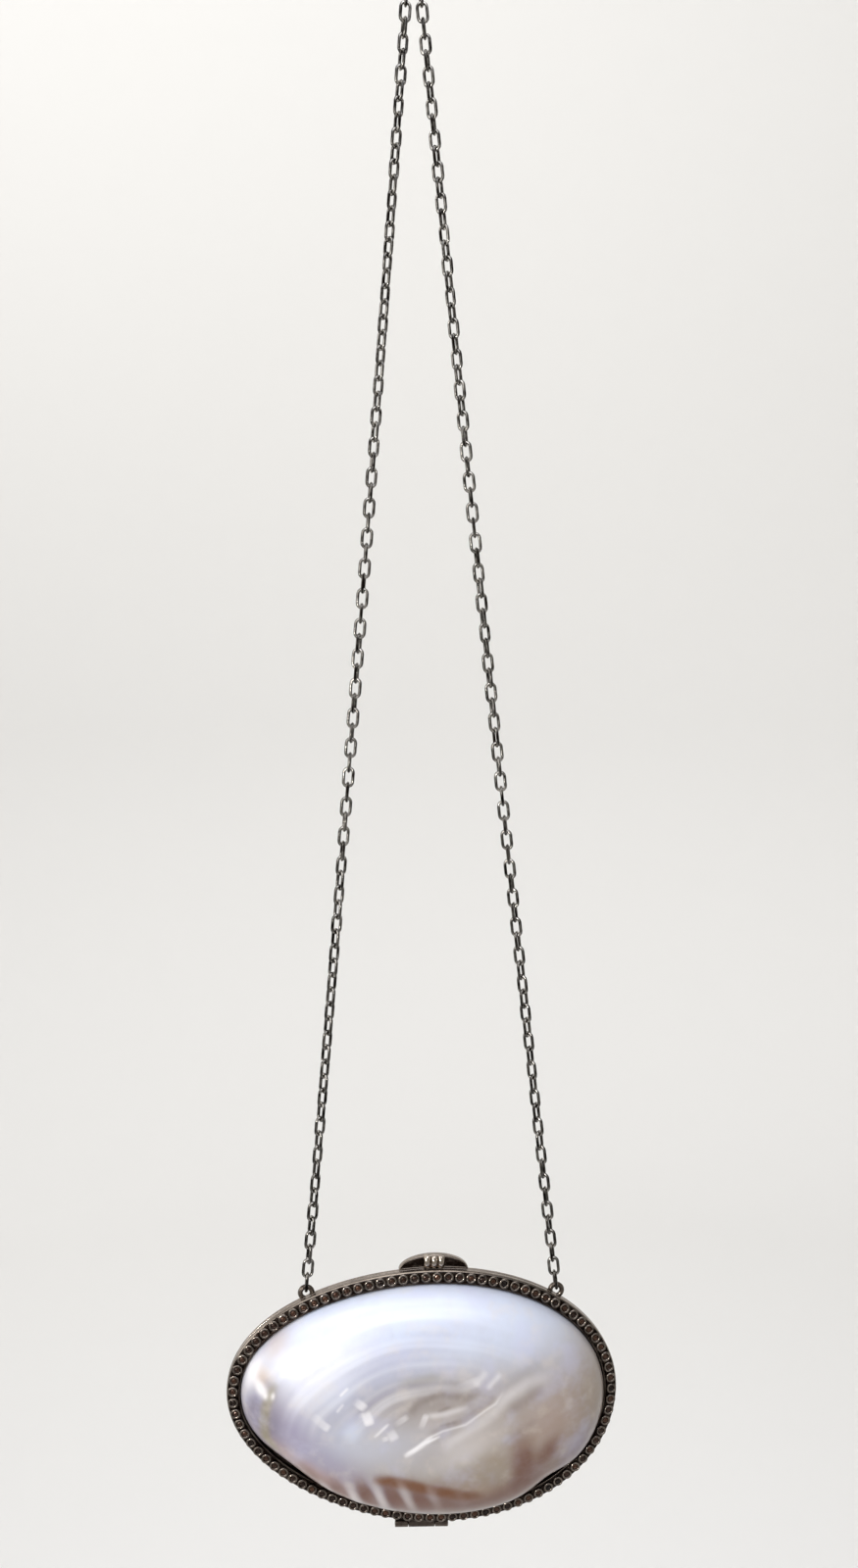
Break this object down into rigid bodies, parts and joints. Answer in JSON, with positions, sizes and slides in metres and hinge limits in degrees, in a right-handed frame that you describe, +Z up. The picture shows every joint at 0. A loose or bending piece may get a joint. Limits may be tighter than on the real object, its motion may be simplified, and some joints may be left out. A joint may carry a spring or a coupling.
{
  "type": "shell clutch bag",
  "caption": "Oval hard clutch bag of two polished mother-of-pearl valves in a hinged stone-set metal rim, with a half-moon clasp and a long cable chain, shown hanging",
  "frame": {"origin": "the underside of the chain at its top, where it hangs on a hook", "axes": "+Z up along the hanging chain, +X to the right seen from the front, +Y to the back, so the front of the bag faces -Y"},
  "size_m": [0.1637, 0.0486, 0.6309],
  "materials": {
    "nacre": "polished mother-of-pearl, white with lilac and tan clouds",
    "gunmetal": "dark gunmetal plate on cast metal",
    "dark_crystal": "dark faceted stones in a gunmetal setting",
    "chain_metal": "gunmetal plate on drawn wire"
  },
  "bodies": {
    "back_half": {"back_shell": "nacre", "back_rim": "gunmetal", "hinge_pin": "gunmetal", "clasp_pin": "gunmetal", "chain_left": "chain_metal", "chain_right": "chain_metal"},
    "front_half": {"front_shell": "nacre", "front_rim": "gunmetal", "front_stone_row": "dark_crystal"},
    "clasp": {"clasp_lever": "gunmetal"}
  },
  "joints": [
    {"name": "case_hinge", "type": "hinge", "parent": "back_half", "child": "front_half", "pos_m": [-0.00322, 0, -0.62371], "axis": [0.9984, 0, -0.0567], "range_deg": [0, 75]},
    {"name": "clasp_pivot", "type": "hinge", "parent": "back_half", "child": "clasp", "pos_m": [0.00314, 0.00315, -0.51173], "axis": [-0.9984, 0, 0.0567], "range_deg": [0, 35]}
  ]
}
